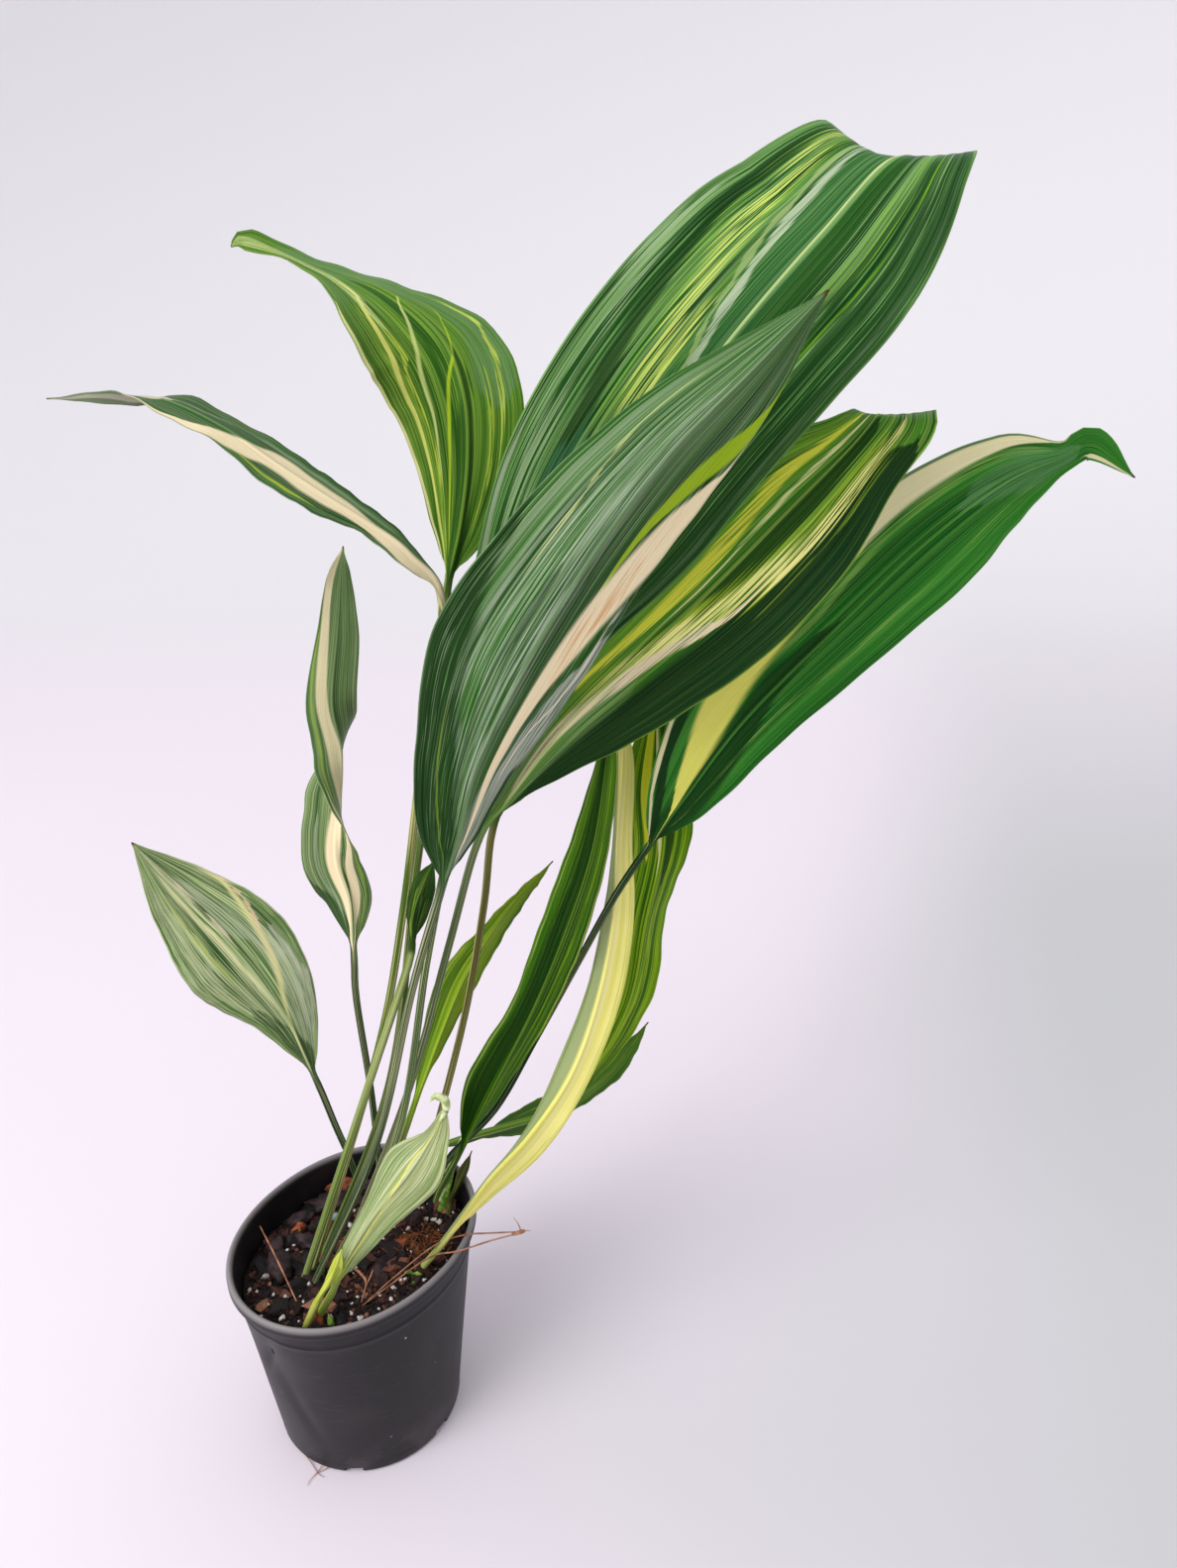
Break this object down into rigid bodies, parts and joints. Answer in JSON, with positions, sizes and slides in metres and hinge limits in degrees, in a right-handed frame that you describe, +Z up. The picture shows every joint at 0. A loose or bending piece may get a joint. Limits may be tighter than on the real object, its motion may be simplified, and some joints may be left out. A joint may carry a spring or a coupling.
{
  "type": "potted cast iron plant",
  "caption": "Variegated house plant with long arching striped leaves on thin stems, rooted in potting mix in a plain tapered nursery pot.",
  "frame": {"origin": "middle of the pot's base, on the surface that it stands on", "axes": "+Z up, +X to the right and +Y away from someone who faces the plant as it is shown"},
  "size_m": [0.6126, 0.2017, 0.8138],
  "materials": {
    "pot": "satin charcoal moulded plastic",
    "soil": "dark moist potting mix with bark chips",
    "rhizome": "pale brown woody rootstock",
    "leaf_green": "leathery satin leaf blade and stem, deep green with fine pale stripes",
    "leaf_grey_green": "leathery satin leaf blade and stem, grey-green with pale streaks",
    "leaf_striped": "leathery satin leaf blade and stem, green with lime and cream stripes",
    "leaf_lime": "leathery satin leaf blade and stem, mostly lime and cream",
    "leaf_sage": "leathery satin leaf blade and stem, mottled pale green and cream"
  },
  "bodies": {
    "root": {"pot": "pot", "soil": "soil", "rhizome": "rhizome", "leaf_top": "leaf_green", "leaf_right": "leaf_green", "leaf_strap": "leaf_green", "leaf_slim_right": "leaf_green", "leaf_slim_middle": "leaf_green", "leaf_folded": "leaf_green", "sheath_right": "leaf_green", "leaf_front": "leaf_grey_green", "leaf_striped": "leaf_striped", "leaf_arched": "leaf_striped", "leaf_far_left": "leaf_striped", "leaf_wavy": "leaf_striped", "leaf_behind": "leaf_striped", "leaf_lime": "leaf_lime", "sheath_front": "leaf_lime", "leaf_twisted": "leaf_sage", "leaf_low_left": "leaf_sage", "leaf_young": "leaf_sage"}
  },
  "joints": []
}
